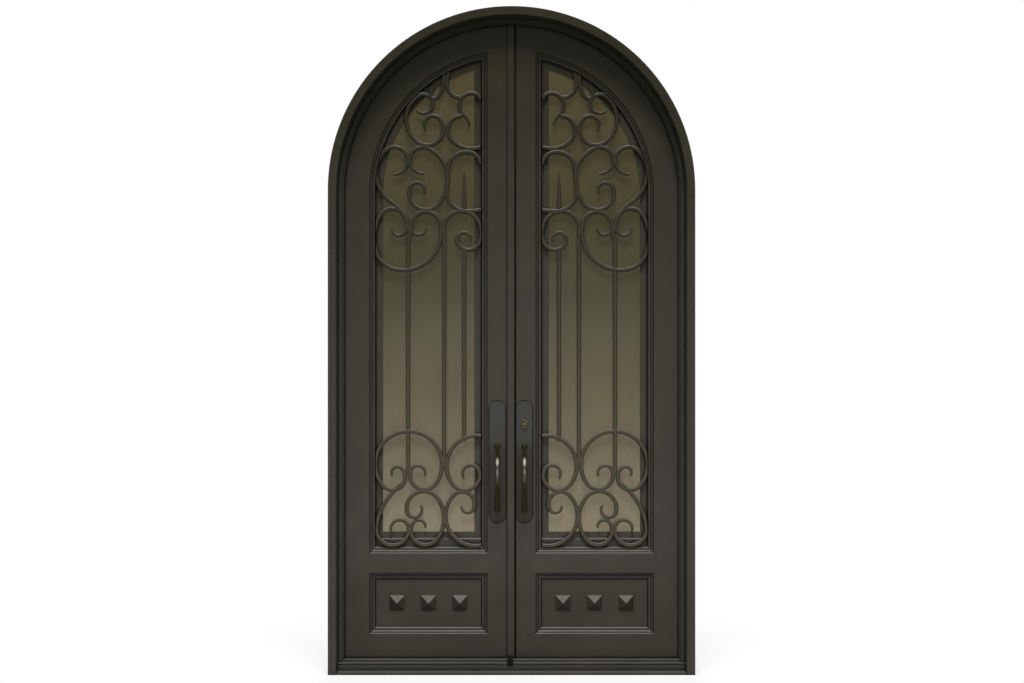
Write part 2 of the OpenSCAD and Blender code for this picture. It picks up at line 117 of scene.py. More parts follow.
# %% [markdown]
# ## Shader sums
# A finish is easier to read as sums than as a web of nodes. This class holds one output of
# a node. Adding or multiplying wires adds Math nodes, and `node` adds any other node: its
# settings are set first, then its sockets get numbers or other wires.


# %% A wire between shader nodes
# A Mix node repeats its socket names for each kind of data, so its colour sockets are counted.
MIX_FACTOR, MIX_FIRST, MIX_SECOND, MIX_COLOUR = 0, 6, 7, 2


class Wire:
    def __init__(self, tree, socket):
        self.tree = tree
        self.socket = socket

    def node(self, kind, settings, sockets, output=0):
        made = self.tree.nodes.new(kind)
        for name, value in settings.items():
            if name == "stops":
                set_stops(made.color_ramp, value)
            else:
                setattr(made, name, value)
        for key, value in sockets.items():
            plug(self.tree, made.inputs[key], value)
        return Wire(self.tree, made.outputs[output])

    def math(self, operation, first, second):
        return self.node("ShaderNodeMath", {"operation": operation}, {0: first, 1: second})

    def __add__(self, other):
        return self.math("ADD", self, other)

    def __radd__(self, other):
        return self.math("ADD", other, self)

    def __sub__(self, other):
        return self.math("SUBTRACT", self, other)

    def __rsub__(self, other):
        return self.math("SUBTRACT", other, self)

    def __mul__(self, other):
        return self.math("MULTIPLY", self, other)

    def __rmul__(self, other):
        return self.math("MULTIPLY", other, self)

    def ramp(self, stops):
        return self.node("ShaderNodeValToRGB", {"stops": stops}, {"Fac": self})

    def between(self, low, high):
        sockets = {"Value": self, "From Min": low, "From Max": high}
        return self.node("ShaderNodeMapRange", {"clamp": True}, sockets)

    def blend(self, first, second):
        settings = {"data_type": "RGBA"}
        sockets = {MIX_FACTOR: self, MIX_FIRST: first, MIX_SECOND: second}
        return self.node("ShaderNodeMix", settings, sockets, MIX_COLOUR)

    def bump(self, strength, distance):
        sockets = {"Height": self, "Strength": strength, "Distance": distance}
        return self.node("ShaderNodeBump", {}, sockets)


def plug(tree, socket, value):
    if isinstance(value, Wire):
        tree.links.new(value.socket, socket)
    else:
        socket.default_value = value


def set_stops(ramp, stops):
    while len(ramp.elements) > 1:
        ramp.elements.remove(ramp.elements[-1])
    ramp.elements[0].position = stops[0][0]
    ramp.elements[0].color = stops[0][1]
    for position, colour in stops[1:]:
        ramp.elements.new(position).color = colour


# %% [markdown]
# ## Starting a finish
# Every finish starts from the object's own coordinates. All pieces have their origin at the
# foot of the door, so these are places on the door, and they stay with a leaf as it swings.


# %% Helpers that start and feed a finish
def new_finish(name):
    material = bpy.data.materials.new(name)
    material.use_nodes = True
    tree = material.node_tree
    shader = tree.nodes["Principled BSDF"]
    coordinates = tree.nodes.new("ShaderNodeTexCoord")
    return material, shader, Wire(tree, coordinates.outputs["Object"])


def feed(shader, **values):
    for name, value in values.items():
        plug(shader.id_data, shader.inputs[name.replace("_", " ")], value)


def grain(place, scale, detail=2.0, roughness=0.5):
    sockets = {"Vector": place, "Scale": scale, "Detail": detail, "Roughness": roughness}
    return place.node("ShaderNodeTexNoise", {}, sockets)


def stretched(place, x, y, z):
    return place.node("ShaderNodeMapping", {}, {"Vector": place, "Scale": (x, y, z)})


def height_of(place):
    return place.node("ShaderNodeSeparateXYZ", {}, {"Vector": place}, "Z")


def grey(value):
    return (value, value, value, 1.0)


def rgba(red, green, blue):
    return (red, green, blue, 1.0)


def tinted(place, colour, tint):
    settings = {"data_type": "RGBA", "blend_type": "MULTIPLY"}
    sockets = {MIX_FACTOR: 1.0, MIX_FIRST: colour, MIX_SECOND: tint}
    return place.node("ShaderNodeMix", settings, sockets, MIX_COLOUR)


# An Ambient Occlusion value; the finishes use it to paint shade into corners, grooves and recesses.
def occlusion_shade(place, reach):
    settings = {"samples": 8}
    return place.node("ShaderNodeAmbientOcclusion", settings, {"Distance": reach}, "AO")


# %% [markdown]
# ## Painted light and shade on the ledges
# Every step of a moulding is a small ledge. Those that look up are painted paler, a painted
# highlight as if lit from above. Slanted steps that look down or sideways are painted dark, a
# painted shade. The object's own normals tell which is which, so this too stays with a leaf as it
# swings.


# %% Ledges
def painted_ledge_light(place, colour):
    normal = Wire(place.tree, place.socket.node.outputs["Normal"])
    up = height_of(normal)
    outward = normal.node("ShaderNodeSeparateXYZ", {}, {"Vector": normal}, "Y")
    # 1 on a face that looks to the street or to the room, 0 on one that looks along the door
    flat = outward.math("ABSOLUTE", outward, 0.0)
    slanted = flat.between(0.25, 0.45) * (1.0 - flat.between(0.85, 0.97))
    # Painted shade on slanted steps that face down or sideways
    painted_shade = slanted * (1.0 - up.between(0.0, 0.4))
    darkened = tinted(place, colour, painted_shade.blend(grey(1.0), grey(0.3)))
    # Painted highlight on faces that look up
    painted_highlight = up.between(0.25, 0.7) * (0.45 + 0.3 * slanted)
    return painted_highlight.blend(darkened, rgba(0.13, 0.125, 0.11))


# %% [markdown]
# ## Baked bronze paint
# The steel is sprayed with a dark bronze paint and baked. Such paint has a fine orange
# peel, a faint cloudiness where the coats overlap, and a satin shine that changes a little
# from place to place. A ramp over the height paints shade into the colour: high up, where the
# arch would shade it, the paint is a much darker olive, and on the leaves it is a little
# darker again at the foot. An Ambient Occlusion node, with a wide reach and with a narrow one,
# paints shade into the corners.


# %% Baked paint
PAINT_ROUGHNESS = 0.30
CLOUD_ROUGHNESS = 0.14
PEEL_STRENGTH = 0.05
PEEL_DEPTH = 0.6 * MM
OPEN_REACH = 12 * MM
CORNER_REACH = 4 * MM


def baked_paint(name, bottom_colour, low_colour, shaded_head_colour):
    material, shader, place = new_finish(name)
    height = height_of(place).between(0.0, door_top)
    # Painted shade by height: much darker towards the head, and a little darker at the foot
    shaded_by_height = height.ramp([(0.0, bottom_colour), (0.10, bottom_colour), (0.17, low_colour),
                        (0.25, low_colour), (0.92, shaded_head_colour)])
    clouds = grain(place, 5.0, detail=4.0, roughness=0.6).between(0.3, 0.7)
    cloudy = clouds.blend(grey(0.86), grey(1.12))
    colour = tinted(place, shaded_by_height, cloudy)
    specks = grain(place, 900.0, detail=1.0).between(0.62, 0.75)
    flecked = (specks * 0.25).blend(colour, rgba(0.07, 0.064, 0.05))
    # Painted shade in the corners, from two reaches of Ambient Occlusion
    open_air = occlusion_shade(place, OPEN_REACH).between(0.5, 0.96)
    corners = occlusion_shade(place, CORNER_REACH).between(0.6, 0.95)
    painted_shade = tinted(place, flecked, (open_air * corners).blend(grey(0.06), grey(1.0)))
    skin = grain(place, 420.0)
    feed(shader, Base_Color=painted_ledge_light(place, painted_shade), Roughness=PAINT_ROUGHNESS + CLOUD_ROUGHNESS * clouds,
         Normal=skin.bump(PEEL_STRENGTH, PEEL_DEPTH), Specular_IOR_Level=0.12)
    return material


# The last colour of each paint, at the head, is painted shade.
frame_paint = baked_paint("frame_paint", rgba(0.047, 0.0435, 0.032), rgba(0.046, 0.0435, 0.033),
                          rgba(0.014, 0.0125, 0.005))
leaf_paint = baked_paint("leaf_paint", rgba(0.043, 0.038, 0.0285), rgba(0.050, 0.0445, 0.0355),
                         rgba(0.014, 0.0125, 0.005))
print("paint made:", frame_paint.name, leaf_paint.name)

# %% [markdown]
# ## Paint over forged bar
# The scrolls and the studs are struck hot, so hammer marks show through the same paint.
# Cells of a Voronoi pattern, rounded off, are close to the overlapping dents of a hammer.


# %% Hammered paint
FORGED_REACH = 7 * MM
DENT_STRENGTH = 0.22
DENT_DEPTH = 4 * MM


def hammered_paint(name, foot_colour, shaded_head_colour):
    material, shader, place = new_finish(name)
    height = height_of(place).between(0.0, door_top)
    # Painted shade by height: the bars go much darker towards the head
    shaded_by_height = height.ramp([(0.0, foot_colour), (0.3, foot_colour), (0.85, shaded_head_colour)])
    sockets = {"Vector": place, "Scale": 85.0, "Smoothness": 0.8}
    dents = place.node("ShaderNodeTexVoronoi", {"feature": "SMOOTH_F1"}, sockets)
    scale_marks = grain(place, 260.0, detail=3.0, roughness=0.65)
    rubbed = scale_marks.between(0.56, 0.74)
    colour = (rubbed * 0.4).blend(shaded_by_height, rgba(0.085, 0.078, 0.06))
    # Painted shade in the hollows between the bars
    open_air = occlusion_shade(place, FORGED_REACH).between(0.3, 0.9)
    painted_shade = tinted(place, colour, open_air.blend(grey(0.2), grey(1.0)))
    relief = dents + scale_marks * 0.25
    feed(shader, Base_Color=painted_ledge_light(place, painted_shade), Roughness=0.36 + 0.16 * scale_marks,
         Normal=relief.bump(DENT_STRENGTH, DENT_DEPTH), Specular_IOR_Level=0.16)
    return material


# The second colour, at the head, is painted shade.
forged_paint = hammered_paint("forged_paint", rgba(0.058, 0.048, 0.030), rgba(0.010, 0.008, 0.002))
print("paint made:", forged_paint.name)

# %% [markdown]
# ## Bronze fittings
# The plates, pulls and lock are oil-rubbed bronze. Wear makes the metal smoother and lighter
# in places. On the pulls the dark patina is gone from the upper swelling of the grip, where the
# hand closes, and the pale bare bronze there is part wear and part a painted highlight. The plates
# are painted darker below, as shade behind the pulls, and paler above. Each is a list of heights
# and shares. The hinges are painted steel, and the wear of their paint is made by the same function.


# %% Oil-rubbed bronze
FITTING_REACH = 6 * MM
BRUSH_STRENGTH = 0.04
BRUSH_DEPTH = 0.4 * MM


def rubbed_bronze(name, dark, worn_and_lit, wear_scale, metal, rough_low, rough_high, wear_and_light_by_height=()):
    material, shader, place = new_finish(name)
    worn_and_lit_share = grain(place, wear_scale, detail=3.0, roughness=0.55).between(0.42, 0.7)
    # A height list paints light into the colour: shade low on the plates, and a highlight with the
    # wear on the swelling of each grip
    if wear_and_light_by_height:
        low, high = wear_and_light_by_height[0][0], wear_and_light_by_height[-1][0]
        stops = [((z - low) / (high - low), grey(share)) for z, share in wear_and_light_by_height]
        worn_and_lit_share = height_of(place).between(low, high).ramp(stops) * (0.7 + 0.3 * worn_and_lit_share)
    brushing = grain(stretched(place, 1.0, 1.0, 0.05), 1400.0, detail=1.0)
    colour = worn_and_lit_share.blend(dark, worn_and_lit)
    rough = rough_high + (rough_low - rough_high) * worn_and_lit_share
    # Painted shade in the corners of the fittings
    open_air = occlusion_shade(place, FITTING_REACH).between(0.3, 0.95)
    colour = tinted(place, colour, open_air.blend(grey(0.15), grey(1.0)))
    feed(shader, Base_Color=colour, Roughness=rough + 0.06 * brushing, Metallic=metal,
         Normal=brushing.bump(BRUSH_STRENGTH, BRUSH_DEPTH), Specular_IOR_Level=0.2)
    return material


# %% The four bronze finishes
# Plates: painted shade below the pulls. Pulls: wear and a painted highlight on the upper swelling.
PLATE_PAINTED_SHADE = [(0.62, 0.0), (0.945, 0.1), (0.99, 1.0), (1.16, 1.0)]
PULL_WEAR_AND_HIGHLIGHT = [(0.800, 0.0), (0.845, 0.20), (0.868, 0.42), (0.873, 0.06), (0.880, 0.15),
             (0.892, 1.0), (0.904, 1.0), (0.922, 0.0)]
plate_bronze = rubbed_bronze("plate_bronze", rgba(0.023, 0.020, 0.0115), rgba(0.041, 0.0385, 0.034),
                             wear_scale=16.0, metal=0.2, rough_low=0.34, rough_high=0.46,
                             wear_and_light_by_height=PLATE_PAINTED_SHADE)
pull_bronze = rubbed_bronze("pull_bronze", rgba(0.020, 0.017, 0.006), rgba(0.50, 0.48, 0.42),
                            wear_scale=40.0, metal=0.7, rough_low=0.24, rough_high=0.26,
                            wear_and_light_by_height=PULL_WEAR_AND_HIGHLIGHT)
lock_bronze = rubbed_bronze("lock_bronze", rgba(0.08, 0.074, 0.042), rgba(0.17, 0.16, 0.10),
                            wear_scale=60.0, metal=0.7, rough_low=0.26, rough_high=0.40)
hinge_steel = rubbed_bronze("hinge_steel", rgba(0.034, 0.031, 0.026), rgba(0.055, 0.05, 0.042),
                            wear_scale=30.0, metal=0.3, rough_low=0.3, rough_high=0.45)
print("bronze made:", plate_bronze.name, pull_bronze.name, lock_bronze.name, hinge_steel.name)

# %% [markdown]
# ## Rubber
# The seals are black extruded rubber, matt, with a faint bloom of dust.

# %% Rubber
rubber, rubber_shader, rubber_place = new_finish("seal_rubber")
RUBBER_DEPTH = 0.4 * MM
bloom = grain(rubber_place, 70.0, detail=3.0).between(0.45, 0.8)
rubber_skin = grain(rubber_place, 500.0)
feed(rubber_shader, Base_Color=bloom.blend(rgba(0.004, 0.004, 0.004), rgba(0.012, 0.011, 0.010)),
     Roughness=0.65 + 0.2 * bloom, Normal=rubber_skin.bump(0.05, RUBBER_DEPTH),
     Specular_IOR_Level=0.08)
print("rubber made:", rubber.name)

# %% [markdown]
# ## Obscure glass
# The light is glazed with tinted obscure glass: nobody sees through it, but it glows with
# what lies behind. So part of its tone is a faint emission, which no shadow of the grille
# darkens, and the rest is plain colour. Fine runs down its face scatter the light, as on rain
# glass. The glow is weakest in the upper half, and grows paler and warmer towards the foot.

# %% Obscure glass
glass, glass_shader, glass_place = new_finish("obscure_glass")
glass_low, glass_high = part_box("glass_right")
glass_height = height_of(glass_place).between(glass_low.z, glass_high.z)
glow = glass_height.ramp([
    (0.0, rgba(0.235, 0.205, 0.135)), (0.20, rgba(0.150, 0.130, 0.082)),
    (0.34, rgba(0.104, 0.091, 0.051)), (0.50, rgba(0.060, 0.056, 0.028)),
    (0.75, rgba(0.058, 0.052, 0.023)), (1.0, rgba(0.072, 0.058, 0.025))])
runs = grain(stretched(glass_place, 1.0, 1.0, 0.12), 130.0, detail=3.0, roughness=0.6)
seeds = grain(glass_place, 320.0)
cloud = grain(glass_place, 3.2)
veil = (runs * 0.5 + cloud * 0.5).between(0.35, 0.65)
glass_colour = tinted(glass_place, glow, veil.blend(grey(0.90), grey(1.08)))
LIT_SHARE = 0.40
GLOW_STRENGTH = 0.62
RUN_STRENGTH = 0.18
RUN_DEPTH = 2 * MM
feed(glass_shader, Base_Color=tinted(glass_place, glass_colour, grey(LIT_SHARE)),
     Emission_Color=glass_colour, Emission_Strength=GLOW_STRENGTH, Roughness=0.16 + 0.10 * runs,
     Normal=(runs + 0.3 * seeds).bump(RUN_STRENGTH, RUN_DEPTH), Specular_IOR_Level=0.10)
print("glass made:", glass.name)

# %% [markdown]
# ## Dressing the CAD pieces
# Sheet steel and bar never have knife edges: a grinder takes them off, and the thin bright
# line along each edge is what makes it look solid. A Weld modifier joins the corners that
# the import left apart, then a Bevel modifier rounds the edges. The jambs, the arches, the
# stiles and the rails are welded and ground flush, so they get no bevel: it would show each joint.
# The buffer on the sill, in front of the foot of the astragal, is a block of black rubber, and its
# black also paints the shade under the foot of the astragal.


# %% Finish and edge of every CAD node
CAD_FINISH = {"frame_paint": frame_paint, "leaf_paint": leaf_paint, "forged_paint": forged_paint,
              "glass": glass, "plate_bronze": plate_bronze, "pull_bronze": pull_bronze,
              "lock_bronze": lock_bronze, "hinge_steel": hinge_steel}
WELDED_FLUSH = 0.0
EDGE_RADIUS = {"handle_plates": 1.4 * MM, "studs": 0.5 * MM, "panel_mouldings": 0.5 * MM,
               "light_moulding": 0.5 * MM, "glass_frame": 0.9 * MM, "hinges": 0.8 * MM,
               "sill": 1.0 * MM, "centre_stop": 1.5 * MM, "astragal": 1.5 * MM}
SHARP = math.radians(28)
IMPORT_GAP = 0.02 * MM


def edge_radius(node_name):
    found = [key for key in EDGE_RADIUS if node_name.startswith(key)]
    return EDGE_RADIUS[max(found, key=len)] if found else WELDED_FLUSH


def round_edges(piece, radius):
    weld = piece.modifiers.new("weld", "WELD")
    weld.merge_threshold = IMPORT_GAP
    bevel = piece.modifiers.new("ground_edge", "BEVEL")
    bevel.width = radius
    bevel.segments = 2
    bevel.limit_method = "ANGLE"
    bevel.angle_limit = SHARP
    bevel.harden_normals = True
    normals = piece.modifiers.new("flat_faces", "WEIGHTED_NORMAL")
    normals.keep_sharp = True


def wear(piece, material):
    piece.data.materials.clear()
    piece.data.materials.append(material)


slot_of = {part["node"]: part["material_slot"] for part in frame["record"]["subparts"]}
for node_name, node in nodes.items():
    wear(node, CAD_FINISH[slot_of[node_name]])
    if edge_radius(node_name) > WELDED_FLUSH:
        round_edges(node, edge_radius(node_name))
# Black rubber, whose black also paints the shade under the astragal's foot
wear(nodes["centre_stop"], rubber)
print("dressed", len(nodes), "CAD nodes")

# %% [markdown]
# ## Building meshes from rings
# A forged bar, a turned knob and a rubber strip are all the same idea: a section carried
# along a line. `Stock` collects rings of points and skins neighbouring rings with faces.


# %% Stock, from which pieces are made
X_AXIS, Y_AXIS, Z_AXIS = 0, 1, 2


class Stock:
    def __init__(self):
        self.points = []
        self.faces = []

    def skin(self, rings):
        first = len(self.points)
        count = len(rings[0])
        for ring in rings:
            self.points.extend(ring)
        for r in range(len(rings) - 1):
            for k in range(count):
                a = first + r * count + k
                b = first + r * count + (k + 1) % count
                self.faces.append((a, b, b + count, a + count))
        last = first + (len(rings) - 1) * count
        self.faces.append(tuple(range(first, first + count)))
        self.faces.append(tuple(range(last, last + count)))

    def mirrored(self, axis, about):
        for point in self.points:
            point[axis] = 2 * about - point[axis]
        return self


# %% From stock to a piece on its body
SAME_POINT = 0.005 * MM
CREASE = math.radians(38)


def make_piece(name, stock, material, body, replaced=()):
    mesh = bpy.data.meshes.new(name)
    mesh.from_pydata([tuple(p) for p in stock.points], [], stock.faces)
    work = bmesh.new()
    work.from_mesh(mesh)
    bmesh.ops.remove_doubles(work, verts=work.verts, dist=SAME_POINT)
    bmesh.ops.dissolve_degenerate(work, edges=work.edges, dist=SAME_POINT)
    bmesh.ops.recalc_face_normals(work, faces=work.faces)
    for face in work.faces:
        face.smooth = True
    for edge in work.edges:
        edge.smooth = edge.is_manifold and edge.calc_face_angle() < CREASE
    work.to_mesh(mesh)
    work.free()
    piece = bpy.data.objects.new(name, mesh)
    bpy.context.scene.collection.objects.link(piece)
    wear(piece, material)
    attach(piece, body)
    if replaced:
        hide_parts(*replaced)
    print(name, len(mesh.polygons), "faces")
    return piece


# %% [markdown]
# ## Turned parts
# Knobs, posts and screws are turned on a lathe: an outline of radius and height, carried
# once round an axis. Outlines are written in millimetres.


# %% A turned part
STREETWARD = (0, -1, 0)
ROOMWARD = (0, 1, 0)
UPWARD = (0, 0, 1)


def turn_ring(centre, axis, radius, count):
    across = axis.orthogonal().normalized()
    other = axis.cross(across)
    ring = []
    for k in range(count):
        angle = 2 * math.pi * k / count
        ring.append(centre + radius * (math.cos(angle) * across + math.sin(angle) * other))
    return ring


def turned(stock, centre, axis, outline, count):
    axis = Vector(axis)
    centre = Vector(centre)
    stock.skin([turn_ring(centre + axis * height * MM, axis, radius * MM, count)
                for radius, height in outline])


# %% [markdown]
# ## The forged section
# The scrolls are bent from bar of 18 by 16 mm. Its corners are rounded by the hammer, so the
# section lies between a square and a circle. A superellipse gives that with one exponent.
# Towards a free end the bar is drawn out: it gets narrower, and a little thinner.

# %% Section and taper of a forged bar
BAR_WIDTH = 18 * MM
TIP_WIDTH = 7 * MM
TIP_DEPTH_SHARE = 0.62
TAPER_LENGTH = 110 * MM
SECTION_POINTS = 16
CORNER_EXPONENT = 3.6


def corner(value, exponent):
    return math.copysign(abs(value) ** (2 / exponent), value)


def bar_ring(x, z, heading, half_width, half_depth):
    ring = []
    for k in range(SECTION_POINTS):
        angle = 2 * math.pi * (k + 0.5) / SECTION_POINTS
        across = half_width * corner(math.cos(angle), CORNER_EXPONENT)
        deep = half_depth * corner(math.sin(angle), CORNER_EXPONENT)
        ring.append(Vector((x - across * math.sin(heading), grille_middle_y + deep,
                            z + across * math.cos(heading))))
    return ring


def drawn_out(distance):
    return math.sqrt(max(0.0, min(1.0, distance / TAPER_LENGTH)))


# %% [markdown]
# ## Scrolls as chains of arcs
# A smith bends a scroll round a few fixed curves. So a scroll is written as a start, a
# heading and a chain of arcs, each a radius and a turn in degrees, left turns positive.
# Where the turn is 0, the first number is a straight length. The numbers are millimetres
# from the middle of the door and from the springing line or the foot of the light.


# %% Points along a chain of arcs
BEND_STEP = math.radians(5)
LONGEST_STEP = 12 * MM


def chain(x, z, heading, arcs):
    stations = [(x, z, heading, 0.0)]
    run = 0.0
    for radius, turn in arcs:
        length = radius if turn == 0 else radius * abs(turn)
        steps = max(math.ceil(abs(turn) / BEND_STEP), math.ceil(length / LONGEST_STEP))
        for k in range(steps):
            middle = heading + turn / steps / 2
            chord = length / steps
            if turn:
                chord = 2 * radius * math.sin(abs(turn) / steps / 2)
            x += chord * math.cos(middle)
            z += chord * math.sin(middle)
            heading += turn / steps
            run += length / steps
            stations.append((x, z, heading, run))
    return stations


# %% The scroll table
TOP_SCROLLS = [
    [[511, 78], 184, [[59, -238], [152, -91], [185, 55]], [True, False]],
    [[518, -154], 272, [[31, -146], [65, -191], [208, -44], [106, -60], [166, -114], [64, -174],
                        [33, -166]], [True, True]],
    [[376, 82], 353, [[57, 214], [149, 93], [25, 0], [72, 170], [33, 187]], [True, True]],
    [[133, 122], 83, [[59, -67], [78, -102], [91, 0], [86, -89], [221, -18], [12, 0]],
     [False, False]],
    [[290, -184], 71, [[78, 146], [98, 83], [50, 136], [30, 218]], [False, True]],
    [[369, 266], 49, [[39, 185], [70, 163], [123, 107], [41, 265]], [True, True]],
    [[135, 401], 77, [[34, -63], [53, -152], [87, 38]], [False, True]],
    [[134, 196], 340, [[116, 67], [62, 133]], [False, False]],
    [[274, 518], 279, [[35, 0], [68, -65], [41, -70]], [False, False]],
    [[291, 508], 276, [[46, 0], [85, 41], [17, 147], [30, 0]], [False, False]],
]
LOW_SCROLLS = [
    [[514, 305], 56, [[26, 173], [55, 183], [144, 251], [63, 159], [33, 192]], [True, True]],
    [[462, 280], 326, [[281, -48], [70, -189], [39, -200]], [False, True]],
    [[394, 180], 232, [[33, 209], [74, 152], [145, 77], [62, 171], [29, 162]], [True, True]],
    [[132, 479], 8, [[131, -136], [65, -155], [37, -204]], [False, True]],
    [[216, 178], 279, [[27, -163], [53, -164], [130, -144]], [True, False]],
]
# The spike: half widths and heights above the springing line
SPIKE_X = 205
SPIKE = [[9, -75], [9, -40], [6.5, 30], [1.5, 88]]
# The bars: x, foot above the foot of the light, top above the springing line
BARS = [[447, 312, -190], [291, 350, -184], [205, 455, -250]]
print(len(TOP_SCROLLS) + len(LOW_SCROLLS), "scrolls and", len(BARS), "bars a leaf")

# %% [markdown]
# ## Forging the grille
# Each scroll is swept along its chain. A little noise on its width and depth gives the
# unevenness of hand work. What would run into the moulding of the light is cut back to it,
# as a smith trims the grille to fit the opening. The scrolls take three slightly different
# depths in turn, so that few of their faces lie in one plane where they touch.


# %% Sweep, unevenness and trimming
HAND_WORK = 0.35 * MM
MARKS_PER_METRE = 45
DEPTH_SEED = 9


def unevenness(x, z, seed):
    return HAND_WORK * noise.noise(Vector((x * MARKS_PER_METRE, z * MARKS_PER_METRE, seed)))


def trim(point):
    point.x = max(point.x, sight_edge)
    above = max(0.0, point.z - spring_z)
    shrink = min(1.0, sight_radius / math.hypot(point.x, above))
    point.x *= shrink
    point.z = max(point.z - above * (1 - shrink), sight_foot)
    return point


def forge(stock, stations, widths, depths, seed):
    rings = []
    for (x, z, heading, _), half_width, half_depth in zip(stations, widths, depths):
        half_width += unevenness(x, z, seed)
        half_depth += unevenness(x, z, seed + DEPTH_SEED)
        ring = bar_ring(x, z, heading, half_width, half_depth)
        rings.append([trim(point) for point in ring])
    stock.skin(rings)


# %% One scroll
DEPTH_STEP = 0.2 * MM


def forge_scroll(stock, scroll, foot_z, seed):
    (x, z), heading, arcs, (tip_at_start, tip_at_end) = scroll
    bends = [(radius * MM, math.radians(turn)) for radius, turn in arcs]
    stations = chain(x * MM, foot_z + z * MM, math.radians(heading), bends)
    total = stations[-1][3]
    widths = []
    depths = []
    for _, _, _, run in stations:
        full = drawn_out(run) if tip_at_start else 1.0
        full = min(full, drawn_out(total - run) if tip_at_end else 1.0)
        widths.append((TIP_WIDTH + (BAR_WIDTH - TIP_WIDTH) * full) / 2)
        depth_share = TIP_DEPTH_SHARE + (1 - TIP_DEPTH_SHARE) * full
        depths.append(grille_half_depth * depth_share - DEPTH_STEP * (seed % 3))
    forge(stock, stations, widths, depths, seed)


# %% Upright bars and the spike
BAR_SET_BACK = 1.0 * MM
BAR_STATION = 25 * MM
SPIKE_SET_BACK = 0.7 * MM
SPIKE_DEPTH_SHARE = 1.2


def forge_upright(stock, x, profile, depth, seed):
    stations = [(x, z, math.radians(90), 0.0) for _, z in profile]
    forge(stock, stations, [half for half, _ in profile], depth, seed)


def forge_bar(stock, bar, seed):
    x, foot, top = bar
    low = sight_foot + foot * MM
    high = spring_z + top * MM
    count = math.ceil((high - low) / BAR_STATION)
    profile = [(BAR_WIDTH / 2, low + (high - low) * k / count) for k in range(count + 1)]
    depth = [grille_half_depth - BAR_SET_BACK] * len(profile)
    forge_upright(stock, x * MM, profile, depth, seed)


def forge_spike(stock, seed):
    profile = [(half * MM, spring_z + z * MM) for half, z in SPIKE]
    depth = [min(grille_half_depth, half * SPIKE_DEPTH_SHARE) - SPIKE_SET_BACK for half, _ in profile]
    forge_upright(stock, SPIKE_X * MM, profile, depth, seed)


# %% [markdown]
# The pattern is written once, for the right leaf. The left leaf takes its mirror image, as the
# two grilles are made on the same jig.

# %% The grilles of both leaves
LOW_SEED = 20
BAR_SEED = 40
for side, sign in SIDES.items():
    upper = Stock()
    for seed, scroll in enumerate(TOP_SCROLLS):
        forge_scroll(upper, scroll, spring_z, seed)
    forge_spike(upper, len(TOP_SCROLLS))
    lower = Stock()
    for seed, scroll in enumerate(LOW_SCROLLS):
        forge_scroll(lower, scroll, sight_foot, seed + LOW_SEED)
    uprights = Stock()
    for seed, bar in enumerate(BARS):
        forge_bar(uprights, bar, seed + BAR_SEED)
    for stock in (upper, lower, uprights):
        if sign < 0:
            stock.mirrored(X_AXIS, 0.0)
    body = f"leaf_{side}"
    make_piece(f"forged_scrolls_top_{side}", upper, forged_paint, body,
               [f"scrollwork_top_{side}"])
    make_piece(f"forged_scrolls_low_{side}", lower, forged_paint, body,
               [f"scrollwork_low_{side}"])
    make_piece(f"forged_bars_{side}", uprights, forged_paint, body,
               [f"grille_bars_{side}"])

# %% [markdown]
# ## The pulls
# Each leaf has a bowed pull on both faces. The grip is turned before it is bent: a thin
# neck under the top knob, a swelling for the fingers, a ring, and then a long body that
# widens down to the foot. It stands on two posts with small round bases.

# %% Outlines of the grip and its posts
# The grip: share of the length from the head down, and radius in millimetres
GRIP = [(0.00, 5.2), (0.04, 5.0), (0.09, 5.4), (0.14, 6.5), (0.19, 7.6), (0.24, 7.9), (0.28, 7.2),
        (0.305, 5.9), (0.32, 5.6), (0.328, 7.0), (0.336, 7.6), (0.348, 7.6), (0.356, 7.0),
        (0.364, 5.7), (0.39, 6.4), (0.43, 7.3), (0.48, 7.5), (0.56, 7.4), (0.66, 7.9), (0.76, 8.6),
        (0.86, 9.2), (0.94, 9.5), (1.00, 9.3)]
PULL_REACH = 42 * MM
PULL_BOW = 12 * MM
POST = [(0.1, 0.0), (12.0, 0.0), (12.5, 1.2), (12.0, 2.6), (9.2, 3.6), (7.4, 5.5), (6.4, 10.0),
        (6.2, 22.0), (6.6, 32.0), (7.0, 42.0), (0.1, 42.0)]
plates_low, plates_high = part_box("handle_plates_right")
plate_face = plates_low.y
print("grip drawn with", len(GRIP), "stations, post with", len(POST))


# %% [markdown]
# The grip is a chain of rings along a shallow arc, which is the path that its bar takes
# when it is bent over a former.


# %% The bent grip
GRIP_SIDES = 28


def grip_rings(centre_x, low_z, high_z):
    half = (high_z - low_z) / 2
    bow_radius = (half ** 2 + PULL_BOW ** 2) / (2 * PULL_BOW)
    bow_angle = math.asin(half / bow_radius)
    centre = Vector((centre_x, plate_face - PULL_REACH + bow_radius - PULL_BOW,
                     (low_z + high_z) / 2))
    rings = []
    for share, radius in GRIP:
        angle = bow_angle * (1 - 2 * share)
        outward = Vector((0, -math.cos(angle), math.sin(angle)))
        along = Vector((0, math.sin(angle), math.cos(angle)))
        rings.append(turn_ring(centre + bow_radius * outward, along, radius * MM, GRIP_SIDES))
    return rings


# %% One pull
POST_SIDES = 32
KNOB_STEPS = 12
KNOB_TIP = 0.05
HEAD_KNOB = 8.6
HEAD_KNOB_LIFT = 1 * MM
FOOT_KNOB = 10.2


def knob(stock, centre, radius):
    outline = [(KNOB_TIP, -radius)]
    for k in range(1, KNOB_STEPS):
        angle = math.pi * k / KNOB_STEPS
        outline.append((radius * math.sin(angle), -radius * math.cos(angle)))
    outline.append((KNOB_TIP, radius))
    turned(stock, centre, UPWARD, outline, GRIP_SIDES)


